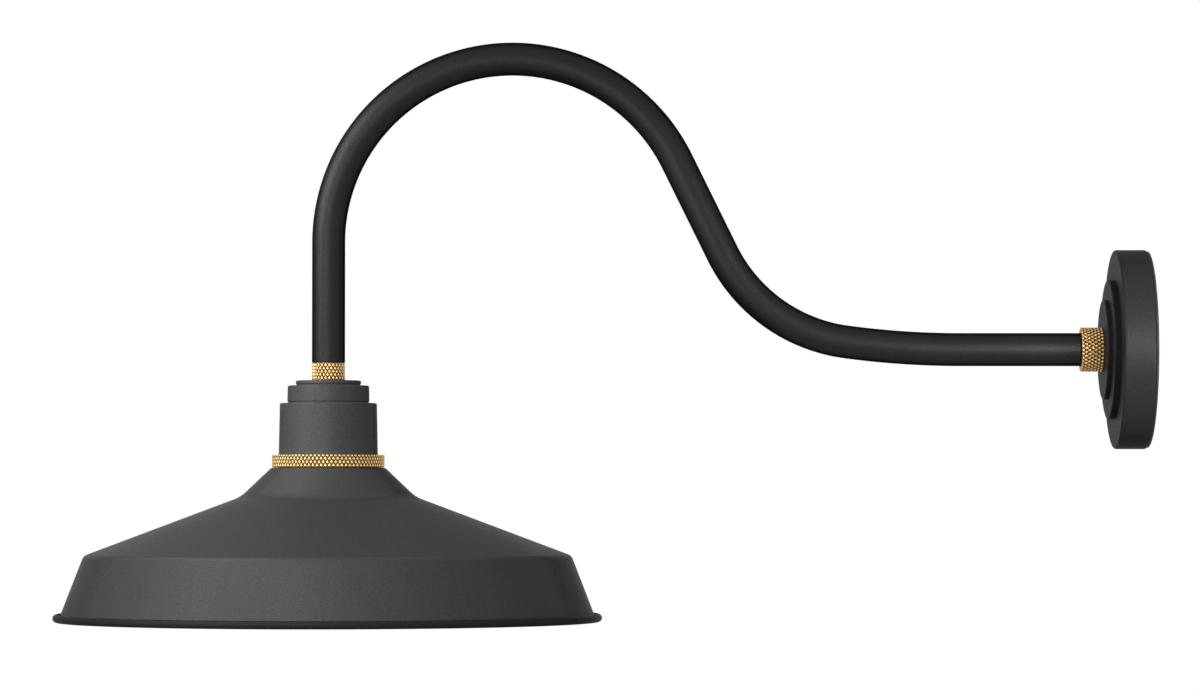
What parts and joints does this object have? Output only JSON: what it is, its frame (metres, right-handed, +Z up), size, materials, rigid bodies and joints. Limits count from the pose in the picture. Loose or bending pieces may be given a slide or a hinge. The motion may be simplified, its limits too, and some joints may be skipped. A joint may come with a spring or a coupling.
{
  "type": "barn light",
  "caption": "Gooseneck wall light with a stepped round canopy, bent tube arm, knurled brass rings, tiered socket cup and a wide spun shade with a rolled rim.",
  "frame": {"origin": "centre of the canopy on the wall plane", "axes": "+X into the wall, +Z up; the arm reaches out along -X"},
  "size_m": [0.823, 0.4119, 0.4363],
  "materials": {
    "charcoal_coat": "fine-textured matte powder coat; the shade's inside is white enamel",
    "knurled_brass": "satin, diamond knurl on the grips",
    "zinc_steel": "satin zinc plate",
    "plain_brass": "bright pressed brass",
    "porcelain": "glossy white glaze",
    "black_rubber": "matte",
    "nylon": "satin moulded",
    "opal_glass": "white inner frosting",
    "lamp_metal": "satin nickel plate",
    "lamp_black": "black insulating glass",
    "earth_green": "green passivated"
  },
  "bodies": {
    "fixture": {"wall_canopy": "charcoal_coat", "wall_gasket": "black_rubber", "mounting_strap": "zinc_steel", "canopy_set_screws": "zinc_steel", "ground_screw": "earth_green", "gooseneck_arm": "charcoal_coat", "arm_wall_bush": "zinc_steel", "wall_nipple": "zinc_steel", "wall_lock_washer": "zinc_steel", "wall_lock_nut": "zinc_steel", "wire_bushing": "nylon", "arm_union_tail": "plain_brass"},
    "collar_seal": {"collar_seal": "black_rubber"},
    "wall_collar": {"wall_collar": "knurled_brass"},
    "shade_coupling": {"shade_coupling": "knurled_brass"},
    "head": {"socket_cup": "charcoal_coat", "cup_nipple": "plain_brass", "cup_lock_washer": "zinc_steel", "cup_lock_nut": "zinc_steel", "shade": "charcoal_coat", "shade_lock_ring": "zinc_steel", "socket_strap": "zinc_steel", "strap_screws": "zinc_steel", "socket_body": "porcelain", "socket_screws": "zinc_steel", "terminal_screws": "plain_brass", "screw_shell": "plain_brass", "centre_contact": "plain_brass"},
    "ring_gasket": {"ring_gasket": "black_rubber"},
    "shade_ring": {"shade_ring": "knurled_brass"},
    "lamp_tip": {"lamp_contact": "lamp_metal"},
    "lamp": {"lamp_globe": "opal_glass", "lamp_base": "lamp_metal", "lamp_insulator": "lamp_black"}
  },
  "joints": [
    {"name": "collar_seal_slide", "type": "slide", "parent": "fixture", "child": "collar_seal", "axis": [-1, 0, 0], "range_m": [0, 0.0101]},
    {"name": "wall_collar_turn", "type": "hinge", "parent": "collar_seal", "child": "wall_collar", "pos_m": [-0.042, 0, 0], "axis": [-1, 0, 0], "range_deg": [0, 1800]},
    {"name": "shade_coupling_turn", "type": "hinge", "parent": "fixture", "child": "shade_coupling", "pos_m": [-0.617, 0, -0.0167], "axis": [0, 0, 1], "range_deg": [0, 1441]},
    {"name": "head_drop", "type": "slide", "parent": "fixture", "child": "head", "axis": [0, 0, -1], "range_m": [0, 0.006]},
    {"name": "ring_gasket_lift", "type": "slide", "parent": "head", "child": "ring_gasket", "axis": [0, 0, 1], "range_m": [0, 0.00152]},
    {"name": "shade_ring_turn", "type": "hinge", "parent": "ring_gasket", "child": "shade_ring", "pos_m": [-0.617, 0, -0.084], "axis": [0, 0, 1], "range_deg": [0, 360]},
    {"name": "lamp_tip_draw", "type": "slide", "parent": "head", "child": "lamp_tip", "axis": [0, 0, -1], "range_m": [0, 0.0219]},
    {"name": "lamp_turn", "type": "hinge", "parent": "lamp_tip", "child": "lamp", "pos_m": [-0.617, 0, -0.12], "axis": [0, 0, -1], "range_deg": [0, 2160]}
  ],
  "couplings": [
    {"joint": "collar_seal_slide", "follows": "wall_collar_turn", "m_per_rad": 0.00031831},
    {"joint": "shade_coupling_turn", "follows": "head_drop", "rad_per_m": 4188.8},
    {"joint": "ring_gasket_lift", "follows": "shade_ring_turn", "m_per_rad": 0.00023873},
    {"joint": "lamp_tip_draw", "follows": "lamp_turn", "m_per_rad": 0.00057773}
  ]
}
